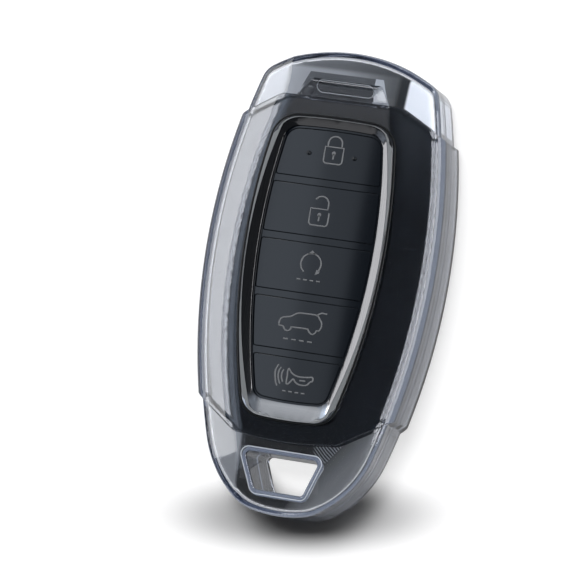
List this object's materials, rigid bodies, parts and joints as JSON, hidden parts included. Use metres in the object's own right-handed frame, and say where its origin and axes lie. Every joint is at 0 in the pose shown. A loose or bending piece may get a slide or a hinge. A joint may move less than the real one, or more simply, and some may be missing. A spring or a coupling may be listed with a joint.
{
  "type": "key fob cover",
  "caption": "Clear two-piece cover closed on a smart key fob, with a raised middle band, a bevelled silver window ring, press keys and a key-ring hole through the low end.",
  "frame": {"origin": "middle of the overall box on the flat back face that it rests on", "axes": "+Y along the length, away from the key-ring hole; +Z out of the keypad; +X to the right when the keypad is read with the hole at the bottom"},
  "size_m": [0.046, 0.09, 0.0202],
  "materials": {
    "clear_cover": "clear gloss",
    "silver_trim": "satin",
    "gloss_black": "gloss",
    "gunmetal": "metallic paint",
    "dark_frame": "satin",
    "dark_key": "satin",
    "grey_rubber": "matte",
    "board_green": "satin",
    "plain_steel": "brushed",
    "chip_black": "matte",
    "ivory_plastic": "satin",
    "led_lens": "clear gloss"
  },
  "bodies": {
    "fob": {"fob_front_housing": "gloss_black", "fob_rear_housing": "gloss_black", "housing_seal": "grey_rubber", "fob_top_cap": "gunmetal", "emergency_key_head": "gunmetal", "emergency_key_blade": "plain_steel", "keypad_frame": "dark_frame", "keypad_mat": "grey_rubber", "circuit_board": "board_green", "board_screws": "plain_steel", "control_chip": "chip_black", "radio_chip": "chip_black", "timing_crystal": "plain_steel", "antenna_coil": "chip_black", "status_led": "led_lens", "passive_parts": "ivory_plastic", "coin_cell": "plain_steel", "battery_tray": "dark_frame", "battery_contact_positive": "plain_steel", "battery_contact_negative": "plain_steel", "switch_lock": "chip_black", "switch_unlock": "chip_black", "switch_start": "chip_black", "switch_tailgate": "chip_black", "switch_horn": "chip_black"},
    "cover_front": {"cover_front_shell": "clear_cover", "window_trim_ring": "silver_trim"},
    "cover_rear": {"cover_rear_shell": "clear_cover"},
    "lock_key": {"key_lock": "dark_key", "plunger_lock": "ivory_plastic"},
    "unlock_key": {"key_unlock": "dark_key", "plunger_unlock": "ivory_plastic"},
    "start_key": {"key_start": "dark_key", "plunger_start": "ivory_plastic"},
    "tailgate_key": {"key_tailgate": "dark_key", "plunger_tailgate": "ivory_plastic"},
    "horn_key": {"key_horn": "dark_key", "plunger_horn": "ivory_plastic"}
  },
  "joints": [
    {"name": "front_cover_lift", "type": "slide", "parent": "fob", "child": "cover_front", "axis": [0, 0, 1], "range_m": [0, 0.024]},
    {"name": "rear_cover_drop", "type": "slide", "parent": "fob", "child": "cover_rear", "axis": [0, 0, -1], "range_m": [0, 0.024]},
    {"name": "lock_press", "type": "slide", "parent": "fob", "child": "lock_key", "axis": [0, 0, -1], "range_m": [0, 0.0005], "stiffness_N_per_m": 600, "springref_m": -0.002},
    {"name": "unlock_press", "type": "slide", "parent": "fob", "child": "unlock_key", "axis": [0, 0, -1], "range_m": [0, 0.0005], "stiffness_N_per_m": 600, "springref_m": -0.002},
    {"name": "start_press", "type": "slide", "parent": "fob", "child": "start_key", "axis": [0, 0, -1], "range_m": [0, 0.0005], "stiffness_N_per_m": 600, "springref_m": -0.002},
    {"name": "tailgate_press", "type": "slide", "parent": "fob", "child": "tailgate_key", "axis": [0, 0, -1], "range_m": [0, 0.0005], "stiffness_N_per_m": 600, "springref_m": -0.002},
    {"name": "horn_press", "type": "slide", "parent": "fob", "child": "horn_key", "axis": [0, 0, -1], "range_m": [0, 0.0005], "stiffness_N_per_m": 600, "springref_m": -0.002}
  ]
}
